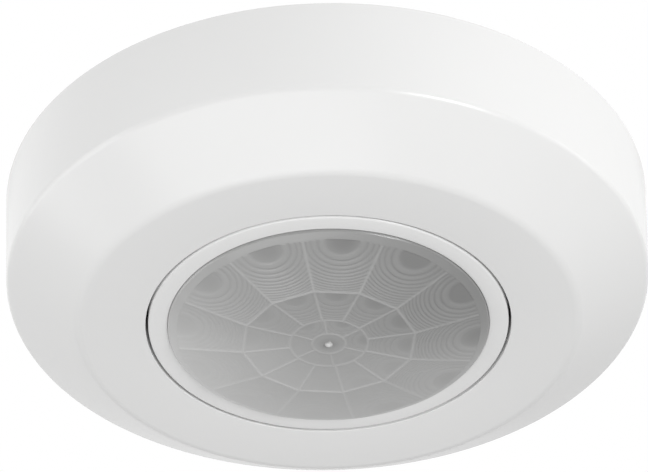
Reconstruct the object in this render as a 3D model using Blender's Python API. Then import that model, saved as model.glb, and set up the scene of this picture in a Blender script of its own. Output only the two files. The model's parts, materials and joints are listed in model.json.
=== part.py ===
"""Ceiling motion sensor, 120 mm across, as it hangs: +Z up, lens pointing down.

The origin is the middle of the mounting face, the plane z = 0 that lies against the ceiling.
Lengths are in millimetres, and a depth is a distance below that plane. Touching pieces keep
an air gap of 0.3 mm.
"""
import math

import bmesh
import bpy
from mathutils import Matrix, Vector

MM = 0.001
GAP = 0.3

# Housing cover: a steep wall, a cone and a flat front with a round hole.
RIM_RADIUS = 60.0
EDGE_RADIUS = 59.66
EDGE_DEPTH = 19.57
FRONT_RADIUS = 46.33
FRONT_DEPTH = 28.46
COVER_WALL = 2.2
COVER_HOLE = 33.9
COVER_STEPS = 60

# Mounting plate and its four stepped bosses.
PLATE_RADIUS = 57.0
PLATE_THICK = 2.2
SKIRT_RADIUS = 55.5
SKIRT_DEPTH = 9.0
BOSS_CENTRES = [(x, y) for x in (-32.9, 32.9) for y in (-19.0, 19.0)]
BOSS_FOOT = 4.6
BOSS_RADIUS = 3.2
BOSS_DEPTH = 10.7
SLOT_CENTRES = [(-24.0, 0.0), (24.0, 0.0), (0.0, -24.0)]
CABLE_Y = 30.0
CABLE_HOLE = 7.9

# Power board and what is soldered to it.
POWER_TOP = 7.0
BOARD_THICK = 1.6
POWER_BOTTOM = POWER_TOP + BOARD_THICK
POWER_RADIUS = 51.0
POWER_PARTS = POWER_BOTTOM + GAP
POLE_PITCH = 8.0
POLES = [(-1.5 + index) * POLE_PITCH for index in range(4)]
TERMINAL_Y = 43.0
TERMINAL_BOTTOM = 19.5

# Head carrier: a cup that holds the sensor board and the lens unit.
CARRIER_TOP = 11.0
CARRIER_FLOOR = 12.4
CARRIER_RADIUS = 31.4
COLLAR_INNER = 29.6
COLLAR_DEPTH = 25.2
HEADER_Y = -6.0

# Sensor board and its parts.
SENSOR_TOP = 13.5
SENSOR_BOTTOM = SENSOR_TOP + BOARD_THICK
SENSOR_PARTS = SENSOR_BOTTOM + GAP
BOARD_SCREWS = [(-24.0, 0.0), (24.0, 0.0)]
TRIMMERS = {"lux": (-15.5, -13.0), "time": (0.0, -20.0), "range": (15.5, -13.0)}
TRIMMER_BOTTOM = 18.1
DIAL_RADIUS = 3.3
LED_AT = (-14.0, 14.0)
LIGHT_SENSOR_AT = (14.0, 14.0)
TRIM_PLATE_RADIUS = 28.8

# Lens unit: twelve-sided domed lens, gasket and bezel ring.
LENS_FLANGE_TOP = 26.3
LENS_FLANGE_BOTTOM = 27.1
LENS_NECK = 29.4
LENS_SHOULDER = (27.9, FRONT_DEPTH + 1.05)
LENS_POLYGON = (16.1, FRONT_DEPTH + 3.75)
LENS_INNER_RING = (7.4, FRONT_DEPTH + 3.88)
LENS_CENTRE = (3.1, FRONT_DEPTH + 3.95)
LENS_SIDES = 12
LENS_TURN = math.radians(-99.0)
LENS_STEPS = 60
BEZEL_INNER = 29.77
BEZEL_OUTER = 33.3
BEZEL_SKIRT = 31.7
BEZEL_TOP = 20.5

FINISHES = {
    "white_abs": ((0.80, 0.80, 0.79), 0.38, 0.0),
    "grey_lens": ((0.42, 0.42, 0.41), 0.35, 0.0),
    "board_green": ((0.03, 0.20, 0.09), 0.45, 0.0),
    "black_plastic": ((0.03, 0.03, 0.03), 0.5, 0.0),
    "rubber": ((0.05, 0.05, 0.05), 0.8, 0.0),
    "steel": ((0.62, 0.62, 0.60), 0.35, 1.0),
    "yellow_film": ((0.75, 0.50, 0.08), 0.5, 0.0),
    "blue_coat": ((0.05, 0.18, 0.50), 0.4, 0.0),
    "ferrite": ((0.10, 0.10, 0.11), 0.7, 0.0),
    "grey_plastic": ((0.35, 0.36, 0.37), 0.5, 0.0),
    "dial_grey": ((0.60, 0.61, 0.62), 0.45, 0.0),
    "silicon": ((0.08, 0.08, 0.10), 0.15, 0.0),
    "clear_epoxy": ((0.80, 0.82, 0.85), 0.1, 0.0),
    "red_epoxy": ((0.60, 0.03, 0.02), 0.2, 0.0),
}


def clear_scene():
    for item in list(bpy.data.objects):
        bpy.data.objects.remove(item, do_unlink=True)


def make_finishes():
    for name, (colour, roughness, metallic) in FINISHES.items():
        finish = bpy.data.materials.new(name)
        finish.use_nodes = True
        shader = finish.node_tree.nodes["Principled BSDF"]
        shader.inputs["Base Color"].default_value = (*colour, 1.0)
        shader.inputs["Roughness"].default_value = roughness
        shader.inputs["Metallic"].default_value = metallic


# Shapes, each added to a mesh under construction, in millimetres.

def add_turned(shape, outline, steps, centre=(0.0, 0.0)):
    """Turn an outline of (radius, depth) points about a vertical axis."""
    corners = [shape.verts.new((centre[0] + radius, centre[1], -depth)) for radius, depth in outline]
    edges = [shape.edges.new(pair) for pair in zip(corners, corners[1:])]
    if outline[0][0] > 0:
        edges.append(shape.edges.new((corners[-1], corners[0])))
    bmesh.ops.spin(shape, geom=corners + edges, cent=(*centre, 0.0), axis=(0, 0, 1),
                   angle=math.tau, steps=steps, use_duplicate=False)
    bmesh.ops.remove_doubles(shape, verts=shape.verts, dist=0.001)


def add_cylinder(shape, radius, top, bottom, centre=(0.0, 0.0), steps=24):
    middle = Matrix.Translation((*centre, -(top + bottom) / 2))
    bmesh.ops.create_cone(shape, cap_ends=True, segments=steps, radius1=radius, radius2=radius,
                          depth=bottom - top, matrix=middle)


def add_box(shape, length, width, top, bottom, centre=(0.0, 0.0), turn=0.0):
    middle = Matrix.Translation((*centre, -(top + bottom) / 2))
    size = Matrix.Diagonal((length, width, bottom - top, 1.0))
    bmesh.ops.create_cube(shape, size=1.0, matrix=middle @ Matrix.Rotation(turn, 4, "Z") @ size)


def add_slot(shape, length, width, top, bottom, centre, turn=0.0, steps=8):
    """A straight slot with round ends, length measured over the ends."""
    outline = []
    for side in (1, -1):
        for step in range(steps + 1):
            angle = -math.pi / 2 + math.pi * step / steps
            reach = (length - width) / 2 + width / 2 * math.cos(angle)
            outline.append(Vector((side * reach, side * width / 2 * math.sin(angle), -top)))
    place = Matrix.Translation((*centre, 0.0)) @ Matrix.Rotation(turn, 4, "Z")
    face = shape.faces.new([shape.verts.new(place @ point) for point in outline])
    pulled = bmesh.ops.extrude_face_region(shape, geom=[face])["geom"]
    moved = [item for item in pulled if isinstance(item, bmesh.types.BMVert)]
    bmesh.ops.translate(shape, vec=(0, 0, top - bottom), verts=moved)


def join_rings(shape, upper, lower):
    count = max(len(upper), len(lower))
    for step in range(count):
        after = (step + 1) % count
        corners = [upper[step % len(upper)], upper[after % len(upper)],
                   lower[after % len(lower)], lower[step % len(lower)]]
        shape.faces.new(list(dict.fromkeys(corners)))


def add_skin(shape, outer, inner, steps, start):
    """Rings of (radius at an angle, depth): an outer skin down to its tip, an inner one back up.

    A radius of None is a point on the axis. The two skins meet only at their first and last ring.
    """
    angles = [start + math.tau * step / steps for step in range(steps)]
    loops = []
    for radius_at, depth in outer + inner:
        if radius_at is None:
            loops.append([shape.verts.new((0, 0, -depth))])
        else:
            loops.append([shape.verts.new((radius_at(a) * math.cos(a), radius_at(a) * math.sin(a),
                                           -depth)) for a in angles])
    for number, (upper, lower) in enumerate(zip(loops, loops[1:])):
        if number != len(outer) - 1:
            join_rings(shape, upper, lower)
    join_rings(shape, loops[-1], loops[0])


# Objects.

def place(name, shape, finish, at=(0.0, 0.0), parent=None):
    """Make the object from its shape, with its origin on the vertical axis through `at`."""
    bmesh.ops.translate(shape, vec=(-at[0], -at[1], 0.0), verts=shape.verts)
    bmesh.ops.scale(shape, vec=(MM, MM, MM), verts=shape.verts)
    bmesh.ops.recalc_face_normals(shape, faces=shape.faces)
    mesh = bpy.data.meshes.new(name)
    shape.to_mesh(mesh)
    shape.free()
    mesh.shade_smooth()
    mesh.set_sharp_from_angle(angle=math.radians(35))
    mesh.materials.append(bpy.data.materials[finish])
    item = bpy.data.objects.new(name, mesh)
    item.location = (at[0] * MM, at[1] * MM, 0.0)
    item.parent = parent
    bpy.context.scene.collection.objects.link(item)
    return item


def combine(item, operation, shape, finish="white_abs"):
    """Cut a shape out of an object, or join it on, with a Boolean and a hidden helper."""
    at = (item.location.x / MM, item.location.y / MM)
    helper = place(f"{item.name}_helper_{len(item.modifiers)}", shape, finish, at=at)
    helper.parent = item.parent
    helper.hide_render = True
    helper.display_type = "WIRE"
    step = item.modifiers.new(operation.lower(), "BOOLEAN")
    step.operation = operation
    step.solver = "EXACT"
    step.object = helper


def cylinders(centres, radius, top, bottom, steps=16):
    shape = bmesh.new()
    for centre in centres:
        add_cylinder(shape, radius, top, bottom, centre, steps)
    return shape


def joint_empty(name, at=(0.0, 0.0)):
    """An empty on a joint's axis, which its moving pieces hang from."""
    empty = bpy.data.objects.new(name, None)
    empty.location = (at[0] * MM, at[1] * MM, 0.0)
    bpy.context.scene.collection.objects.link(empty)
    return empty


def arc(centre, radius, start, end, steps):
    """Points of a round stretch of an outline, angles in degrees from +radius towards +depth."""
    points = []
    for step in range(steps + 1):
        angle = math.radians(start + (end - start) * step / steps)
        points.append((centre[0] + radius * math.cos(angle), centre[1] + radius * math.sin(angle)))
    return points


def make_screw(name, at, head_radius, head_top, head_depth, shank_radius, shank_top):
    """A pan-head screw driven upwards, with a cross recess in its lower face."""
    bottom = head_top + head_depth
    shape = bmesh.new()
    add_turned(shape, [(0, shank_top), (shank_radius, shank_top), (shank_radius, head_top),
                       (head_radius, head_top), (head_radius, bottom - 0.5),
                       (head_radius - 0.5, bottom), (0, bottom)], 16, at)
    screw = place(name, shape, "steel", at)
    for turn in (0.0, math.pi / 2):
        recess = bmesh.new()
        add_box(recess, head_radius * 1.1, 0.7, bottom - 0.9, bottom + 1, at, turn)
        combine(screw, "DIFFERENCE", recess, "steel")
    return screw


# Base.

def make_mounting_plate():
    shape = bmesh.new()
    skirt_inner = SKIRT_RADIUS - 2.0
    add_turned(shape, [(0, 0), (PLATE_RADIUS, 0), (PLATE_RADIUS, PLATE_THICK),
                       (SKIRT_RADIUS, PLATE_THICK), (SKIRT_RADIUS, SKIRT_DEPTH),
                       (skirt_inner, SKIRT_DEPTH), (skirt_inner, PLATE_THICK), (0, PLATE_THICK)],
               COVER_STEPS)
    plate = place("mounting_plate", shape, "white_abs")
    bosses = bmesh.new()
    foot_depth = POWER_TOP - GAP
    for centre in BOSS_CENTRES:
        add_turned(bosses, [(0, 1), (BOSS_FOOT, 1), (BOSS_FOOT, foot_depth), (BOSS_RADIUS, foot_depth),
                            (BOSS_RADIUS, BOSS_DEPTH), (0, BOSS_DEPTH)], 16, centre)
    combine(plate, "UNION", bosses)
    openings = cylinders(BOSS_CENTRES, 1.7, 4.5, BOSS_DEPTH + 1, 12)
    add_cylinder(openings, CABLE_HOLE, -1, PLATE_THICK + 1, (0, CABLE_Y))
    for x, y in SLOT_CENTRES:
        add_slot(openings, 12, 4.6, -1, PLATE_THICK + 1, (x, y), math.atan2(x, -y))
    combine(plate, "DIFFERENCE", openings)


def make_cable_grommet():
    bore = 5.0
    shape = bmesh.new()
    add_turned(shape, [(bore, GAP), (CABLE_HOLE - GAP, GAP), (CABLE_HOLE - GAP, PLATE_THICK + GAP),
                       (9.8, PLATE_THICK + GAP), (9.8, 3.6), (9.4, 4.0), (bore + 0.6, 4.0),
                       (bore, 3.4)], 24, (0, CABLE_Y))
    place("cable_grommet", shape, "rubber", (0, CABLE_Y))


def make_power_board():
    board = place("power_board", cylinders([(0, 0)], POWER_RADIUS, POWER_TOP, POWER_BOTTOM, 64),
                  "board_green")
    openings = cylinders(BOSS_CENTRES, BOSS_RADIUS + 0.4, POWER_TOP - 1, POWER_BOTTOM + 1)
    add_box(openings, 18, 15, POWER_TOP - 1, POWER_BOTTOM + 1, (0, 29))
    combine(board, "DIFFERENCE", openings, "board_green")


def make_block(name, size, height, at, finish, top=POWER_PARTS, bevel=0.6):
    """A moulded rectangular component with eased edges."""
    shape = bmesh.new()
    add_box(shape, size[0], size[1], top, top + height, at)
    bmesh.ops.bevel(shape, geom=shape.edges[:], offset=bevel, segments=1, affect="EDGES")
    return place(name, shape, finish, at)


def make_power_parts():
    """The tall parts soldered round the edge of the power board."""
    make_block("relay", (10, 20), 13, (-42, 0), "black_plastic")
    make_block("suppression_capacitor", (8, 18), 12, (42, 0), "yellow_film")
    make_block("board_header", (12, 3), 13.2 - POWER_PARTS, (0, HEADER_Y), "black_plastic", bevel=0.3)

    can = bmesh.new()
    at = (20, -40)
    groove = POWER_PARTS + 1.6
    wide = 5.0
    end = POWER_PARTS + 12
    add_turned(can, [(0, POWER_PARTS), (wide, POWER_PARTS), (wide, groove), (wide - 0.4, groove + 0.5),
                     (wide, groove + 1), (wide, end - 0.5), (wide - 0.5, end), (0, end)], 24, at)
    place("smoothing_capacitor", can, "grey_plastic", at)

    fuse = bmesh.new()
    at = (-20, -40)
    wide = 4.2
    end = POWER_PARTS + 8
    add_turned(fuse, [(0, POWER_PARTS), (wide, POWER_PARTS), (wide, end - 0.5), (wide - 0.5, end),
                      (0, end)], 20, at)
    place("fuse", fuse, "black_plastic", at)

    choke = bmesh.new()
    at = (31, -32)
    wide = 4.5
    waist = 3.6
    flange = 1.5
    end = POWER_PARTS + 9
    add_turned(choke, [(0, POWER_PARTS), (wide, POWER_PARTS), (wide, POWER_PARTS + flange),
                       (waist, POWER_PARTS + flange), (waist, end - flange), (wide, end - flange),
                       (wide, end), (0, end)], 20, at)
    place("choke", choke, "ferrite", at)

    disc = bmesh.new()
    at = (0, -42)
    radius = 5.0
    lying = Matrix.Translation((*at, -(POWER_PARTS + radius))) @ Matrix.Rotation(math.pi / 2, 4, "X")
    bmesh.ops.create_cone(disc, cap_ends=True, segments=24, radius1=radius, radius2=radius, depth=4,
                          matrix=lying)
    rims = [edge for edge in disc.edges if abs(edge.calc_face_angle()) > 1]
    bmesh.ops.bevel(disc, geom=rims, offset=0.8, segments=2, affect="EDGES")
    place("varistor", disc, "blue_coat", at)


def make_terminals():
    depth = 10.0
    length = 4 * POLE_PITCH
    shape = bmesh.new()
    add_box(shape, length, depth, POWER_PARTS, TERMINAL_BOTTOM, (0, TERMINAL_Y))
    block = place("terminal_block", shape, "grey_plastic", (0, TERMINAL_Y))
    wells = cylinders([(x, TERMINAL_Y) for x in POLES], 2.6, 12.5, TERMINAL_BOTTOM + 1)
    combine(block, "DIFFERENCE", wells, "grey_plastic")
    entries = bmesh.new()
    for x in POLES:
        add_box(entries, 3.4, 8, 10.6, 14, (x, TERMINAL_Y - 3))
    combine(block, "DIFFERENCE", entries, "grey_plastic")
    for number, x in enumerate(POLES, start=1):
        at = (x, TERMINAL_Y)
        empty = joint_empty(f"terminal_axis_{number}", at)
        screw = bmesh.new()
        add_turned(screw, [(0, 14.5), (1.5, 14.5), (1.5, 16.6), (2.2, 16.9), (2.2, 18.6), (1.9, 18.9),
                           (0, 18.9)], 20, at)
        item = place(f"terminal_screw_{number}", screw, "steel", at)
        slot = bmesh.new()
        add_box(slot, 6, 0.7, 17.9, 20, at)
        combine(item, "DIFFERENCE", slot, "steel")
        for piece in [item, item.modifiers[0].object]:
            piece.parent = empty
            piece.location = (0, 0, 0)


# Head carrier and sensor board.

def make_head_carrier():
    shape = bmesh.new()
    add_turned(shape, [(0, CARRIER_TOP), (CARRIER_RADIUS, CARRIER_TOP), (CARRIER_RADIUS, COLLAR_DEPTH),
                       (COLLAR_INNER, COLLAR_DEPTH), (COLLAR_INNER, CARRIER_FLOOR), (0, CARRIER_FLOOR)],
               48)
    carrier = place("head_carrier", shape, "white_abs")
    tabs = bmesh.new()
    tab_bottom = CARRIER_TOP + 2.0
    for x, y in BOSS_CENTRES:
        inner = COLLAR_INNER + 1.0
        reach = math.hypot(x, y) + 4.5
        share = (inner + reach) / 2 / math.hypot(x, y)
        add_box(tabs, reach - inner, 9, CARRIER_TOP + 0.1, tab_bottom, (x * share, y * share),
                math.atan2(y, x))
    combine(carrier, "UNION", tabs)
    posts = cylinders(BOARD_SCREWS, 3.0, CARRIER_TOP + 0.5, SENSOR_TOP - GAP)
    combine(carrier, "UNION", posts)
    openings = cylinders(BOSS_CENTRES, 1.7, CARRIER_TOP - 1, tab_bottom + 1, 12)
    for centre in BOARD_SCREWS:
        add_cylinder(openings, 1.4, CARRIER_TOP - 1, SENSOR_TOP, centre, 12)
    add_box(openings, 13.4, 4.4, CARRIER_TOP - 1, CARRIER_FLOOR + 1, (0, HEADER_Y))
    combine(carrier, "DIFFERENCE", openings)
    for number, centre in enumerate(BOSS_CENTRES, start=1):
        make_screw(f"carrier_screw_{number}", centre, 3.0, tab_bottom + GAP, 1.8, 1.4, 5.0)


def make_sensor_board():
    board = place("sensor_board", cylinders([(0, 0)], 29.2, SENSOR_TOP, SENSOR_BOTTOM, 48),
                  "board_green")
    holes = cylinders(BOARD_SCREWS, 1.4, SENSOR_TOP - 1, SENSOR_BOTTOM + 1, 12)
    combine(board, "DIFFERENCE", holes, "board_green")
    for number, centre in enumerate(BOARD_SCREWS, start=1):
        make_screw(f"board_screw_{number}", centre, 2.3, SENSOR_PARTS, 1.5, 1.1, 11.5)


def make_pyro_sensor():
    can = bmesh.new()
    face = 19.8
    add_turned(can, [(0, SENSOR_PARTS), (4.7, SENSOR_PARTS), (4.7, 16.2), (4.2, 16.2), (4.2, face - 0.4),
                     (3.8, face), (0, face)], 32)
    sensor = place("pyro_sensor", can, "steel")
    recess = bmesh.new()
    add_box(recess, 5.0, 4.2, face - 0.7, face + 1)
    combine(sensor, "DIFFERENCE", recess, "steel")
    window = bmesh.new()
    add_box(window, 4.4, 3.6, face - 0.4, face + 0.1)
    place("pyro_window", window, "silicon")


def make_domed_lamp(name, at, finish):
    """A round component with a flange and a domed end, as an LED or a photodiode has."""
    shape = bmesh.new()
    dome = arc((0, 19.6), 2.4, 0, 90, 5)
    dome[-1] = (0, dome[-1][1])
    add_turned(shape, [(0, SENSOR_PARTS), (2.8, SENSOR_PARTS), (2.8, 16.4), (2.4, 16.4)] + dome, 20, at)
    place(name, shape, finish, at)


def make_dials():
    for name, at in TRIMMERS.items():
        make_block(f"{name}_trimmer", (9, 9), TRIMMER_BOTTOM - SENSOR_PARTS, at, "grey_plastic",
                   SENSOR_PARTS, 0.4)
        empty = joint_empty(f"{name}_axis", at)
        top = TRIMMER_BOTTOM + GAP
        bottom = top + 2.6
        shape = bmesh.new()
        add_turned(shape, [(0, top), (DIAL_RADIUS, top), (DIAL_RADIUS, bottom - 0.4),
                           (DIAL_RADIUS - 0.4, bottom), (0, bottom)], 24, at)
        dial = place(f"{name}_dial", shape, "dial_grey", at)
        slot = bmesh.new()
        add_box(slot, 4.6, 0.9, bottom - 1.2, bottom + 1, (at[0], at[1] - 0.2), math.pi / 2)
        combine(dial, "DIFFERENCE", slot, "dial_grey")
        for piece in [dial, dial.modifiers[0].object]:
            piece.parent = empty
            piece.location = (0, 0, 0)


def make_trim_plate():
    top = TRIMMER_BOTTOM + GAP
    plate = place("trim_plate", cylinders([(0, 0)], TRIM_PLATE_RADIUS, top, top + 1, 48), "white_abs")
    holes = cylinders(TRIMMERS.values(), DIAL_RADIUS + 0.5, top - 1, top + 2)
    add_cylinder(holes, 5.4, top - 1, top + 2)
    for centre in (LED_AT, LIGHT_SENSOR_AT):
        add_cylinder(holes, 3.1, top - 1, top + 2, centre)
    combine(plate, "DIFFERENCE", holes)


# Lens unit and cover.

def circle(radius):
    return lambda angle: radius


def polygon(radius):
    """Radius of a regular polygon at an angle, where `radius` reaches its corners."""
    half = math.pi / LENS_SIDES
    return lambda angle: radius * math.cos(half) / math.cos((angle - LENS_TURN) % (2 * half) - half)


def make_lens(parent):
    """A thin moulded dome: flange, neck, shoulder, a ring of twelve facets and a flat middle."""
    wall = 0.8
    shoulder, shoulder_depth = LENS_SHOULDER
    corner, corner_depth = LENS_POLYGON
    ring, ring_depth = LENS_INNER_RING
    middle, middle_depth = LENS_CENTRE
    pip = 0.45
    pip_height = 0.35
    inner_neck = LENS_NECK - 1.0
    outer_skin = [(circle(CARRIER_RADIUS), LENS_FLANGE_TOP), (circle(CARRIER_RADIUS), LENS_FLANGE_BOTTOM),
                  (circle(LENS_NECK), LENS_FLANGE_BOTTOM), (circle(LENS_NECK), FRONT_DEPTH),
                  (circle(LENS_NECK - 0.5), FRONT_DEPTH + 0.7), (circle(shoulder), shoulder_depth),
                  (polygon(corner), corner_depth), (circle(ring), ring_depth),
                  (circle(middle), middle_depth), (circle(pip), middle_depth + 0.05),
                  (circle(pip - 0.1), middle_depth + pip_height - 0.05), (None, middle_depth + pip_height)]
    inner_skin = [(None, middle_depth - wall), (circle(ring), ring_depth - wall),
                  (polygon(corner - 0.2), corner_depth - wall),
                  (circle(shoulder - 0.6), shoulder_depth - wall),
                  (circle(inner_neck), FRONT_DEPTH - 0.6), (circle(inner_neck), LENS_FLANGE_TOP)]
    shape = bmesh.new()
    add_skin(shape, outer_skin, inner_skin, LENS_STEPS, LENS_TURN)
    place("lens", shape, "grey_lens", parent=parent)


def make_gasket(parent):
    shape = bmesh.new()
    top = COLLAR_DEPTH + GAP
    add_turned(shape, [(29.8, top), (31.2, top), (31.2, top + 0.5), (29.8, top + 0.5)], 48)
    place("lens_gasket", shape, "rubber", parent=parent)


def make_bezel(parent):
    lip_top = LENS_FLANGE_BOTTOM + GAP
    shape = bmesh.new()
    outline = [(BEZEL_SKIRT, BEZEL_TOP), (BEZEL_OUTER, BEZEL_TOP)]
    outline += arc((BEZEL_OUTER - 0.5, FRONT_DEPTH - 0.5), 0.5, 0, 90, 2)
    outline += arc((BEZEL_INNER + 0.4, FRONT_DEPTH - 0.4), 0.4, 90, 180, 1)
    outline += [(BEZEL_INNER, lip_top), (BEZEL_SKIRT, lip_top)]
    add_turned(shape, outline, COVER_STEPS)
    place("bezel_ring", shape, "white_abs", parent=parent)


def make_cover(parent):
    """A shell whose outer corners are rounded and whose inner skin runs one wall inside."""
    slope = math.degrees(math.atan2(FRONT_DEPTH - EDGE_DEPTH, EDGE_RADIUS - FRONT_RADIUS))
    lean = 90 - slope
    edge = 2.0
    soft = 3.0
    edge_centre = (EDGE_RADIUS - edge, EDGE_DEPTH - edge * math.tan(math.radians(lean / 2)))
    front_centre = (FRONT_RADIUS - soft * math.tan(math.radians(slope / 2)), FRONT_DEPTH - soft)
    hole_centre = (COVER_HOLE + 0.6, FRONT_DEPTH - 0.6)
    collar_top = 23.0
    collar_radius = COVER_HOLE + 1.6
    inner_wall = RIM_RADIUS - COVER_WALL - 0.2
    inner_edge = EDGE_RADIUS - COVER_WALL
    inner_edge_depth = EDGE_DEPTH - COVER_WALL * math.tan(math.radians(lean / 2))
    inner_front = FRONT_RADIUS - COVER_WALL * math.tan(math.radians(slope / 2))
    outline = [(inner_wall, GAP), (RIM_RADIUS - 0.3, GAP), (RIM_RADIUS, 2 * GAP)]
    outline += arc(edge_centre, edge, 0, lean, 3)
    outline += arc(front_centre, soft, lean, 90, 3)
    outline += arc(hole_centre, 0.6, 90, 180, 2)
    outline += [(COVER_HOLE, collar_top), (collar_radius, collar_top),
                (collar_radius, FRONT_DEPTH - COVER_WALL), (inner_front, FRONT_DEPTH - COVER_WALL),
                (inner_edge, inner_edge_depth)]
    shape = bmesh.new()
    add_turned(shape, outline, COVER_STEPS)
    cover = place("housing_cover", shape, "white_abs", parent=parent)
    ribs = bmesh.new()
    rib_inner = SKIRT_RADIUS + 0.45
    for turn in range(6):
        angle = math.radians(30 + 60 * turn)
        middle = (rib_inner + inner_wall + 0.8) / 2
        add_box(ribs, inner_wall + 0.8 - rib_inner, 1.4, 3, 16, (middle * math.cos(angle),
                middle * math.sin(angle)), angle)
    combine(cover, "UNION", ribs)


def main():
    clear_scene()
    make_finishes()
    make_mounting_plate()
    make_cable_grommet()
    make_power_board()
    make_power_parts()
    make_terminals()
    make_head_carrier()
    make_sensor_board()
    make_pyro_sensor()
    make_domed_lamp("indicator_led", LED_AT, "red_epoxy")
    make_domed_lamp("light_sensor", LIGHT_SENSOR_AT, "clear_epoxy")
    make_dials()
    make_trim_plate()
    lens_unit = joint_empty("lens_axis")
    make_lens(lens_unit)
    make_gasket(lens_unit)
    make_bezel(lens_unit)
    make_cover(joint_empty("cover_axis"))


main()
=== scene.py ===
"""Looks of the ceiling motion sensor: fine shells, a grooved Fresnel lens, finishes, light and camera.

Lengths are millimetres, and a depth is a distance below the mounting face.
"""

import json
import math

import bpy
import numpy as np
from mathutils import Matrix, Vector


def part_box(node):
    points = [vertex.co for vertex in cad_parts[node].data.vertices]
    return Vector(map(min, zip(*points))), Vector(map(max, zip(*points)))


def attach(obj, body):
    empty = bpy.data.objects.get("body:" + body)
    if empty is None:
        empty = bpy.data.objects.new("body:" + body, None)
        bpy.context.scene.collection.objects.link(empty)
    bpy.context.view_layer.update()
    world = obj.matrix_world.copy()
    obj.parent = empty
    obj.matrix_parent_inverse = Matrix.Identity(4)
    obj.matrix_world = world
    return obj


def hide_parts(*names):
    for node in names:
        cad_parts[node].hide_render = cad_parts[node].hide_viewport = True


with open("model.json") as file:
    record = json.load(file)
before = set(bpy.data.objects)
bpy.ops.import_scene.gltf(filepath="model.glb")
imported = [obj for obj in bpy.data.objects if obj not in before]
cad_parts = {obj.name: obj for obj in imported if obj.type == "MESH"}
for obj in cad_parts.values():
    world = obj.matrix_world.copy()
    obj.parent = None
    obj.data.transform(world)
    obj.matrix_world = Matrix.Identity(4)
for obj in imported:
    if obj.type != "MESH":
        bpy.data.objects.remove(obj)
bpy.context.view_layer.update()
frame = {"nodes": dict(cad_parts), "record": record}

MM = 0.001
TURNED_STEPS = 192

# The fixed frame gives the shells their places.
COVER_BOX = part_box("housing_cover")
BEZEL_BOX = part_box("bezel_ring")
LENS_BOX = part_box("lens")
RIM_RADIUS = COVER_BOX[1][0] / MM
RIM_TOP = -COVER_BOX[1][2] / MM
FRONT_DEPTH = -COVER_BOX[0][2] / MM
BEZEL_OUTER = BEZEL_BOX[1][0] / MM
BEZEL_TOP = -BEZEL_BOX[1][2] / MM
LENS_FLANGE = LENS_BOX[1][1] / MM
LENS_TOP = -LENS_BOX[1][2] / MM

# Cover.
EDGE_RADIUS = RIM_RADIUS - 0.34
EDGE_DEPTH = 19.57
FRONT_RADIUS = 46.33
GAP_WIDTH = 0.48
COVER_HOLE = BEZEL_OUTER + 0.51
COVER_WALL = 2.2

# Lens pattern.
SIDES = 12
FACET = math.tau / SIDES
BORDER_TURN = math.radians(-9.0)
SIXTH_TURN = math.radians(-6.0)
APOTHEM = 16.1 * math.cos(FACET / 2)
POLYGON_RISE = 3.75
FACET_LIMIT = 28.1
FACET_SLOPE = 0.215
MIDDLE_SLOPE = 0.018
INNER_RING = 7.2
CENTRE_DISC = 3.1
NECK = 29.7
FLANGE_THICKNESS = 0.8
INNER_NECK = 28.4
# Inner skin of the lens: radius, and depth below the front.
INNER_SKIN = ((27.2, 0.3), (15.8, 3.0), (7.2, 3.2), (0.3, 3.3))
INNER_TIP = 3.3
PIP_RADIUS = 0.8
PIP_HEIGHT = 0.5

# Lens tones, from 0 (dark) to 1 (pale).
FACET_TONE = 0.3
RIM_TONE = 0.34
# The borders' tone is a painted highlight.
RIDGE_TONE = 0.38


# Meshes.

def make_piece(name, vertices, faces, smooth_angle=30.0):
    """A mesh object from points in millimetres."""
    mesh = bpy.data.meshes.new(name)
    mesh.from_pydata([tuple(MM * value for value in point) for point in vertices], [], faces)
    mesh.validate()
    mesh.shade_smooth()
    mesh.set_sharp_from_angle(angle=math.radians(smooth_angle))
    piece = bpy.data.objects.new(name, mesh)
    bpy.context.scene.collection.objects.link(piece)
    return piece


def turned_piece(name, outline):
    """Turn a closed outline of (radius, depth) points, listed outwards then down then inwards."""
    angles = [math.tau * step / TURNED_STEPS for step in range(TURNED_STEPS)]
    vertices = [(radius * math.cos(angle), radius * math.sin(angle), -depth)
                for radius, depth in outline for angle in angles]
    faces = []
    for row in range(len(outline)):
        low = row * TURNED_STEPS
        high = (row + 1) % len(outline) * TURNED_STEPS
        for step in range(TURNED_STEPS):
            after = (step + 1) % TURNED_STEPS
            faces.append((low + step, high + step, high + after, low + after))
    return make_piece(name, vertices, faces)


def arc(centre, radius, start, end, steps):
    """Round stretch of an outline: angles in degrees, 0 outwards and 90 downwards."""
    points = []
    for step in range(steps + 1):
        angle = math.radians(start + (end - start) * step / steps)
        points.append((centre[0] + radius * math.cos(angle), centre[1] + radius * math.sin(angle)))
    return points


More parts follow.
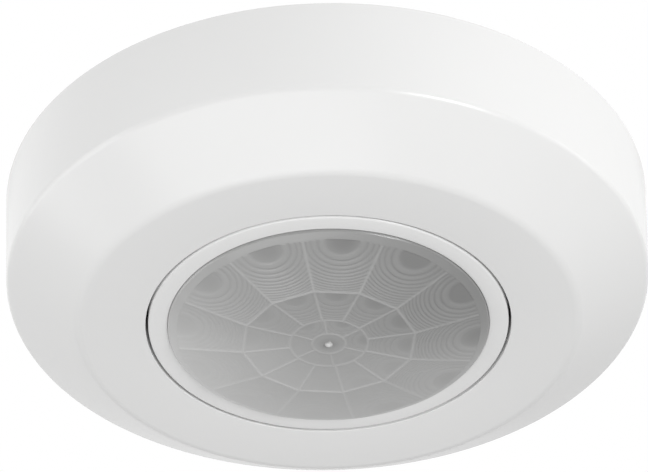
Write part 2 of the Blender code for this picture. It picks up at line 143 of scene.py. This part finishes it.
def make_cover():
    """Steep wall, rounded edge, conical bevel, soft edge and flat front, then the hole's collar."""
    slope = math.degrees(math.atan2(FRONT_DEPTH - EDGE_DEPTH, EDGE_RADIUS - FRONT_RADIUS))
    lean = 90 - slope
    edge = 1.5
    soft = 3.6
    edge_centre = (EDGE_RADIUS - edge, EDGE_DEPTH - edge * math.tan(math.radians(lean / 2)))
    front_centre = (FRONT_RADIUS - soft * math.tan(math.radians(slope / 2)), FRONT_DEPTH - soft)
    lip = 0.14
    collar_top = 23.0
    collar_wall = 1.6
    rim = 0.5
    inner_wall = RIM_RADIUS - COVER_WALL - 0.2
    outline = [(inner_wall, RIM_TOP)]
    outline += arc((RIM_RADIUS - rim, RIM_TOP + rim), rim, -90, 0, 4)
    outline += arc(edge_centre, edge, 0, lean, 12)
    outline += arc(front_centre, soft, lean, 90, 12)
    outline += arc((COVER_HOLE + lip, FRONT_DEPTH - lip), lip, 90, 180, 6)
    outline += [(COVER_HOLE, collar_top), (COVER_HOLE + collar_wall, collar_top)]
    outline += [(COVER_HOLE + collar_wall, FRONT_DEPTH - COVER_WALL)]
    front_inset = COVER_WALL * math.tan(math.radians(slope / 2))
    edge_inset = COVER_WALL * math.tan(math.radians(lean / 2))
    outline += [(FRONT_RADIUS - front_inset, FRONT_DEPTH - COVER_WALL)]
    outline += [(EDGE_RADIUS - COVER_WALL, EDGE_DEPTH - edge_inset)]
    return turned_piece("cover_shell", outline)


def make_bezel():
    """White ring round the lens, with a recess behind it for the lens's flange."""
    corner = 0.42
    inner_corner = 0.25
    inner = NECK + 0.03
    outer = COVER_HOLE - GAP_WIDTH
    recess_radius = 31.7
    recess_depth = 27.4
    outline = [(recess_radius, BEZEL_TOP), (outer, BEZEL_TOP)]
    outline += arc((outer - corner, FRONT_DEPTH - corner), corner, 0, 90, 6)
    outline += arc((inner + inner_corner, FRONT_DEPTH - inner_corner), inner_corner, 90, 180, 6)
    outline += [(inner, recess_depth), (recess_radius, recess_depth)]
    return turned_piece("bezel_shell", outline)


# Lens.

def bump_line(distance, width):
    return np.exp(-(distance / width) ** 2)


def groove_wave(distance, first, spacing):
    """Fresnel steps: none inside the first ring, then rings evenly spaced in distance squared."""
    phase = (distance ** 2 - first ** 2) / spacing
    turn = math.tau * phase
    wave = 0.5 - 0.5 * np.cos(turn + 0.9 * np.sin(turn))
    return np.where(phase > 0, wave, 0.0)


def lens_surface(angle, radius):
    """Depth below the front and tone of the lens's outer skin, for arrays of angle and radius.

    A border stands a little proud of the facets beside it. The steps and their painted light and
    shade are strongest towards -Y and +X, and painted light makes the skin palest towards +Y and -X.
    """
    azimuth = angle + math.pi / 2
    inside = (azimuth - BORDER_TURN) % FACET - FACET / 2
    along = radius * np.cos(inside)
    across = radius * np.sin(inside)
    rim = np.minimum(radius, FACET_LIMIT)
    outer_depth = POLYGON_RISE - (rim * np.cos(inside) - APOTHEM) * FACET_SLOPE
    middle_depth = POLYGON_RISE + (APOTHEM - along) * MIDDLE_SLOPE
    depth = np.where(along > APOTHEM, outer_depth, middle_depth)
    # The rim slopes for most of its width, then rounds off into the neck.
    roll = np.clip((radius - FACET_LIMIT) / (NECK - FACET_LIMIT), 0, 1)
    rounding = np.clip((roll - 0.85) / 0.15, 0, 1)
    rim_depth = depth * (1 - 0.72 * roll ** 1.15) * np.sqrt(1 - rounding ** 2)
    depth = np.where(radius > FACET_LIMIT, rim_depth, depth)

    sixth = 2 * FACET
    wide = (azimuth - SIXTH_TURN) % sixth - sixth / 2
    # Each zone: where it is, offsets from its lens axis, first ring, spacing, height, weight of its
    # painted light and shade.
    zones = (
        ((along > APOTHEM) & (radius < FACET_LIMIT), along - 27.6, across, 2.9, 12.5, 0.12, 1.0),
        ((along <= APOTHEM) & (radius > INNER_RING), along - 15.0, across, 2.0, 9.0, 0.05, 0.5),
        ((radius <= INNER_RING) & (radius > CENTRE_DISC), radius * np.cos(wide) - 6.9,
         radius * np.sin(wide), 1.4, 5.0, 0.03, 0.5),
    )
    tone = np.full_like(radius, FACET_TONE)
    relief = np.zeros_like(radius)
    # Painted light and shade: how strongly the tone marks show, set by angle and strongest towards -Y
    # and +X; the steps' relief follows it too.
    contrast = 0.55 + 0.47 * np.cos(angle + math.radians(55.0))
    step_scale = np.clip(1.2 * contrast, 0.3, 1)
    for here, dx, dy, first, spacing, height, painted_shade_weight in zones:
        distance = np.hypot(dx, dy)
        fade = np.exp(-np.maximum(distance - 10.0, 0) / 6.0)
        wave = groove_wave(distance, first, spacing)
        relief = np.where(here, height * step_scale * (wave * fade - 0.5), relief)
        # Painted shade darkens the clear centre of each zone, where the dark inside would show
        # through, and painted light and shade run along its grooves.
        painted_dark_centre = np.exp(-(distance / (0.85 * first)) ** 4)
        mark = 0.08 * (wave - 0.5) * fade - 0.10 * painted_dark_centre
        tone = np.where(here, FACET_TONE + painted_shade_weight * contrast * mark, tone)

    edge_gap = radius * np.abs(np.sin(FACET / 2 - np.abs(inside)))
    ridge = np.where((radius > INNER_RING) & (radius < FACET_LIMIT), bump_line(edge_gap, 0.22), 0)
    ridge = np.maximum(ridge, bump_line(along - APOTHEM, 0.24))
    ridge = np.maximum(ridge, 0.8 * bump_line(radius - INNER_RING, 0.24))
    ridge = np.maximum(ridge, 0.8 * bump_line(radius - CENTRE_DISC, 0.22))
    six_gap = radius * np.abs(np.sin(sixth / 2 - np.abs(wide)))
    in_ring = (radius < INNER_RING) & (radius > CENTRE_DISC)
    ridge = np.maximum(ridge, np.where(in_ring, 0.8 * bump_line(six_gap, 0.2), 0))
    relief = relief * (1 - ridge) + 0.10 * ridge
    # Painted highlight along the borders and ring edges, brighter where contrast is high.
    tone = tone * (1 - ridge) + (RIDGE_TONE + 0.11 * contrast) * ridge

    pip = np.clip(1 - (radius / PIP_RADIUS) ** 2, 0, 1) ** 0.5
    relief = relief + PIP_HEIGHT * pip
    # Painted shadow: a darker ring round the pip.
    tone = tone - 0.10 * bump_line(radius - 1.2, 0.6)
    tone = np.where(radius > FACET_LIMIT, RIM_TONE, tone)
    # Painted highlight: the pip is made palest, for the glint on it.
    tone = np.maximum(tone, pip)
    # Painted light and shade: the skin is made paler towards +Y and -X and darker towards +X, for how
    # light falls on the lens.
    lower = np.tanh(2.5 * np.sin(angle - math.radians(8.0)))
    painted_side_light = (0.11 + 0.25 * lower - 0.18 * np.cos(angle)) * radius / FACET_LIMIT
    tone = np.where(radius > 0.9, tone + painted_side_light, tone)
    calm = np.clip((FACET_LIMIT + 0.3 - radius) / 0.3, 0, 1)
    return depth + relief * calm, np.clip(tone, 0, 1)


def make_lens():
    """One closed mesh: a fine grooved outer skin, the rim, the flange and a plain inner skin."""
    steps = 576
    fine = 0.125
    angles = np.arange(steps) * math.tau / steps
    centre_radii = [0.12, 0.25, 0.38, 0.5, 0.6, 0.7, 0.76, 0.8, 0.9, 1.2, 1.7, 2.2, 2.7]
    facet_radii = np.arange(2.9, FACET_LIMIT, fine)
    rim_turn = np.linspace(0, math.pi / 2, 20)
    rim_radii = FACET_LIMIT + (NECK - FACET_LIMIT) * np.sin(rim_turn)
    radii = np.concatenate([centre_radii, facet_radii, rim_radii])
    grid_radius, grid_angle = np.meshgrid(radii, angles, indexing="ij")
    rise, tone = lens_surface(grid_angle, grid_radius)
    rows = [np.stack([grid_radius * np.cos(grid_angle), grid_radius * np.sin(grid_angle),
                      -(FRONT_DEPTH + rise)], axis=-1)]
    flange_bottom = LENS_TOP + FLANGE_THICKNESS
    plain = [(NECK, flange_bottom), (LENS_FLANGE, flange_bottom), (LENS_FLANGE, LENS_TOP),
             (INNER_NECK, LENS_TOP), (INNER_NECK, FRONT_DEPTH - 0.6)]
    plain += [(radius, FRONT_DEPTH + drop) for radius, drop in INNER_SKIN]
    for radius, depth in plain:
        ring = (radius * np.cos(angles), radius * np.sin(angles), np.full(steps, -depth))
        rows.append(np.stack(ring, axis=-1)[None])
    points = np.concatenate(rows).reshape(-1, 3)
    count = len(radii) + len(plain)
    # Tone 1 at the outer tip is the pip's painted highlight; the plain rows and the inner tip get a
    # middle tone.
    tones = np.concatenate([tone.reshape(-1), np.full(len(plain) * steps, 0.5), [1.0, 0.5]])
    tip_rise = float(lens_surface(np.zeros(1), np.zeros(1))[0][0])
    tips = [(0, 0, -(FRONT_DEPTH + tip_rise)), (0, 0, -(FRONT_DEPTH + INNER_TIP))]
    points = np.concatenate([points, tips])

    step = np.arange(steps)
    after = (step + 1) % steps
    quads = []
    for row in range(count - 1):
        low = row * steps
        high = low + steps
        quads.append(np.stack([low + step, high + step, high + after, low + after], axis=-1))
    faces = np.concatenate(quads).tolist()
    outer_tip = count * steps
    last = (count - 1) * steps
    faces += [(outer_tip, int(a), int(b)) for a, b in zip(step, after)]
    faces += [(last + int(a), outer_tip + 1, last + int(b)) for a, b in zip(step, after)]
    piece = make_piece("lens_dome", points.tolist(), [face[::-1] for face in faces], 50.0)
    layer = piece.data.attributes.new("tone", "FLOAT", "POINT")
    layer.data.foreach_set("value", tones.astype(np.float32))
    return piece


# Finishes.

class Finish:
    """A Principled material whose nodes are made one after another."""

    def __init__(self, name, roughness, metallic=0.0):
        self.material = bpy.data.materials.new(name)
        self.material.use_nodes = True
        self.tree = self.material.node_tree
        self.shader = self.tree.nodes["Principled BSDF"]
        self.shader.inputs["Roughness"].default_value = roughness
        self.shader.inputs["Metallic"].default_value = metallic
        self.place = self.add("ShaderNodeTexCoord").outputs["Object"]

    def add(self, kind, **settings):
        node = self.tree.nodes.new(kind)
        for key, value in settings.items():
            setattr(node, key, value)
        return node

    def link(self, source, target):
        self.tree.links.new(source, target)

    def noise(self, scale, detail=4.0, stretch=(1, 1, 1)):
        mapping = self.add("ShaderNodeMapping")
        mapping.inputs["Scale"].default_value = stretch
        texture = self.add("ShaderNodeTexNoise")
        texture.inputs["Scale"].default_value = scale
        texture.inputs["Detail"].default_value = detail
        self.link(self.place, mapping.inputs["Vector"])
        self.link(mapping.outputs["Vector"], texture.inputs["Vector"])
        return texture.outputs["Fac"]

    def ramp(self, source, low, high, start=0.3, end=0.7):
        ramp = self.add("ShaderNodeValToRGB")
        ramp.color_ramp.elements[0].position = start
        ramp.color_ramp.elements[1].position = end
        ramp.color_ramp.elements[0].color = (*low, 1)
        ramp.color_ramp.elements[1].color = (*high, 1)
        self.link(source, ramp.inputs["Fac"])
        return ramp.outputs["Color"]

    def colour(self, source):
        self.link(source, self.shader.inputs["Base Color"])

    def vary_roughness(self, source, low, high):
        spread = self.add("ShaderNodeMapRange")
        spread.inputs["To Min"].default_value = low
        spread.inputs["To Max"].default_value = high
        self.link(source, spread.inputs["Value"])
        self.link(spread.outputs["Result"], self.shader.inputs["Roughness"])

    def bump(self, source, height_mm, strength=1.0):
        bump = self.add("ShaderNodeBump")
        bump.inputs["Distance"].default_value = height_mm * MM
        bump.inputs["Strength"].default_value = strength
        self.link(source, bump.inputs["Height"])
        self.link(bump.outputs["Normal"], self.shader.inputs["Normal"])


def shade(colour, amount):
    return tuple(max(0.0, min(1.0, value * amount)) for value in colour)


def moulded(name, colour, roughness, spread=0.03, grain=1400.0, grain_height=0.02, coat=0.0):
    """Moulded plastic: a fine spark-eroded grain, faint flow marks and uneven gloss."""
    finish = Finish(name, roughness)
    flow = finish.noise(18.0, 3.0)
    finish.colour(finish.ramp(flow, shade(colour, 1 - spread), shade(colour, 1 + spread)))
    finish.vary_roughness(finish.noise(60.0, 2.0), roughness - 0.05, roughness + 0.05)
    finish.bump(finish.noise(grain, 3.0), grain_height, 0.5)
    finish.shader.inputs["Coat Weight"].default_value = coat
    return finish.material


def metal(name, colour, roughness):
    """Drawn or plated metal: fine directional scratches and dulled patches."""
    finish = Finish(name, roughness, 1.0)
    finish.colour(finish.ramp(finish.noise(300.0, 4.0), shade(colour, 0.85), shade(colour, 1.1)))
    finish.vary_roughness(finish.noise(150.0, 5.0), roughness - 0.1, roughness + 0.12)
    finish.bump(finish.noise(2500.0, 2.0, (1, 8, 1)), 0.01, 0.5)
    return finish.material


def board_finish():
    """Green solder mask over copper tracks."""
    finish = Finish("board_mask", 0.35)
    cells = finish.add("ShaderNodeTexVoronoi", feature="DISTANCE_TO_EDGE", distance="MANHATTAN")
    cells.inputs["Scale"].default_value = 520.0
    cells.inputs["Randomness"].default_value = 0.65
    finish.link(finish.place, cells.inputs["Vector"])
    tracks = cells.outputs["Distance"]
    finish.colour(finish.ramp(tracks, (0.02, 0.17, 0.07), (0.03, 0.21, 0.085), 0.06, 0.14))
    finish.vary_roughness(finish.noise(90.0), 0.28, 0.42)
    finish.bump(tracks, 0.05, 0.3)
    return finish.material


def lens_finish():
    """Grey polyethylene coloured by the tone attribute, with painted shade where the lens is clear and
    painted light along its steps and borders.
    """
    finish = Finish("lens_grey", 0.32)
    tone = finish.add("ShaderNodeAttribute", attribute_name="tone").outputs["Fac"]
    finish.colour(finish.ramp(tone, (0.22, 0.22, 0.218), (0.68, 0.68, 0.675), 0.0, 1.0))
    finish.vary_roughness(finish.noise(120.0, 2.0), 0.27, 0.36)
    finish.bump(finish.noise(900.0, 2.0), 0.01, 0.4)
    finish.shader.inputs["Coat Weight"].default_value = 0.25
    finish.shader.inputs["Coat Roughness"].default_value = 0.12
    return finish.material


def make_finishes():
    return {
        "white_abs": moulded("white_abs_fine", (0.79, 0.79, 0.786), 0.24, 0.008),
        "grey_lens": lens_finish(),
        "board_green": board_finish(),
        "black_plastic": moulded("black_plastic_fine", (0.025, 0.025, 0.027), 0.45, 0.2, 900.0),
        "rubber": moulded("rubber_fine", (0.035, 0.035, 0.035), 0.75, 0.2, 700.0, 0.04),
        "steel": metal("steel_plated", (0.62, 0.62, 0.60), 0.30),
        "yellow_film": moulded("film_box", (0.72, 0.45, 0.05), 0.30, 0.06, 800.0, 0.01, 0.3),
        "blue_coat": moulded("epoxy_dip", (0.04, 0.15, 0.45), 0.25, 0.12, 350.0, 0.05, 0.5),
        "ferrite": moulded("ferrite_core", (0.05, 0.05, 0.055), 0.6, 0.3, 600.0, 0.05),
        "grey_plastic": moulded("grey_plastic_fine", (0.30, 0.31, 0.32), 0.45, 0.06, 900.0),
        "dial_grey": moulded("dial_plastic", (0.60, 0.61, 0.62), 0.40, 0.04, 1000.0),
        "silicon": moulded("silicon_window", (0.04, 0.04, 0.06), 0.12, 0.2, 500.0, 0.005, 0.6),
        "clear_epoxy": moulded("clear_epoxy_cast", (0.62, 0.66, 0.70), 0.10, 0.05, 300.0, 0.01, 1.0),
        "red_epoxy": moulded("red_epoxy_cast", (0.55, 0.02, 0.015), 0.12, 0.08, 300.0, 0.01, 1.0),
    }


def dress_frame(finishes):
    """Give every carried-over node the finish of its material slot."""
    for row in frame["record"]["subparts"]:
        node = frame["nodes"][row["node"]]
        for holder in node.material_slots:
            holder.material = finishes[row["material_slot"]]


def add_shell(piece, body, node, slot, finishes):
    piece.data.materials.append(finishes[slot])
    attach(piece, body)
    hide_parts(node)


# Studio.

def make_floor():
    half_width = 2300
    depth = 2600
    corners = ((-1, -1), (1, -1), (1, 1), (-1, 1))
    vertices = [(x * half_width, y * half_width, -depth) for x, y in corners]
    floor = make_piece("studio_floor", vertices, [(0, 1, 2, 3)])
    finish = Finish("floor_pale", 0.8)
    finish.colour(finish.ramp(finish.noise(3.0), (0.57, 0.57, 0.57), (0.59, 0.59, 0.59)))
    floor.data.materials.append(finish.material)


def make_light(name, place, aim, size, power):
    light = bpy.data.lights.new(name, "AREA")
    light.size = size
    light.energy = power
    holder = bpy.data.objects.new(name, light)
    holder.location = place
    holder.rotation_euler = (Vector(aim) - Vector(place)).to_track_quat("-Z", "Y").to_euler()
    bpy.context.scene.collection.objects.link(holder)


def make_world():
    """White above and behind the object, dimmer below it."""
    world = bpy.data.worlds.new("studio_white")
    world.use_nodes = True
    tree = world.node_tree
    split = tree.nodes.new("ShaderNodeSeparateXYZ")
    fade = tree.nodes.new("ShaderNodeMapRange")
    fade.inputs["From Min"].default_value = -0.3
    fade.inputs["From Max"].default_value = 0.5
    fade.inputs["To Min"].default_value = 0.25
    fade.inputs["To Max"].default_value = 1.0
    tree.links.new(tree.nodes.new("ShaderNodeTexCoord").outputs["Generated"], split.inputs["Vector"])
    tree.links.new(split.outputs["Z"], fade.inputs["Value"])
    tree.links.new(fade.outputs["Result"], tree.nodes["Background"].inputs["Strength"])
    tree.nodes["Background"].inputs["Color"].default_value = (1, 1, 1, 1)
    bpy.context.scene.world = world


def make_studio():
    make_floor()
    make_world()
    bpy.context.scene.view_settings.view_transform = "Standard"
    middle = (0, 0, -0.02)
    make_light("key_light", (0.58, -0.69, -0.40), middle, 0.32, 4.6)
    make_light("left_light", (-0.95, 0.05, -0.32), middle, 0.8, 3.6)
    make_light("left_glint", (-0.93, -0.36, 0.07), middle, 0.14, 0.4)
    make_light("right_light", (0.98, -0.10, -0.05), middle, 0.5, 1.1)
    make_light("under_light", (-0.25, -0.20, -0.95), middle, 0.8, 2.5)


def make_camera():
    """A long lens 37 degrees below the mounting face, turned a degree clockwise."""
    elevation = 0.6524
    distance = 17.243 * EDGE_RADIUS * MM
    focal_length = 304.1667
    roll = -0.0195
    aim = Vector((-0.0005, -0.0001, -0.0076))
    camera_data = bpy.data.cameras.new("camera")
    camera_data.sensor_width = 36.0
    camera_data.lens = focal_length
    camera = bpy.data.objects.new("camera", camera_data)
    camera.location = (0, -distance * math.cos(elevation), -distance * math.sin(elevation))
    camera.rotation_euler = (aim - camera.location).to_track_quat("-Z", "Y").to_euler()
    camera.rotation_euler.rotate_axis("Z", roll)
    bpy.context.scene.collection.objects.link(camera)
    bpy.context.scene.camera = camera


finishes = make_finishes()
dress_frame(finishes)
add_shell(make_cover(), "cover", "housing_cover", "white_abs", finishes)
add_shell(make_bezel(), "lens_unit", "bezel_ring", "white_abs", finishes)
add_shell(make_lens(), "lens_unit", "lens", "grey_lens", finishes)
make_studio()
make_camera()
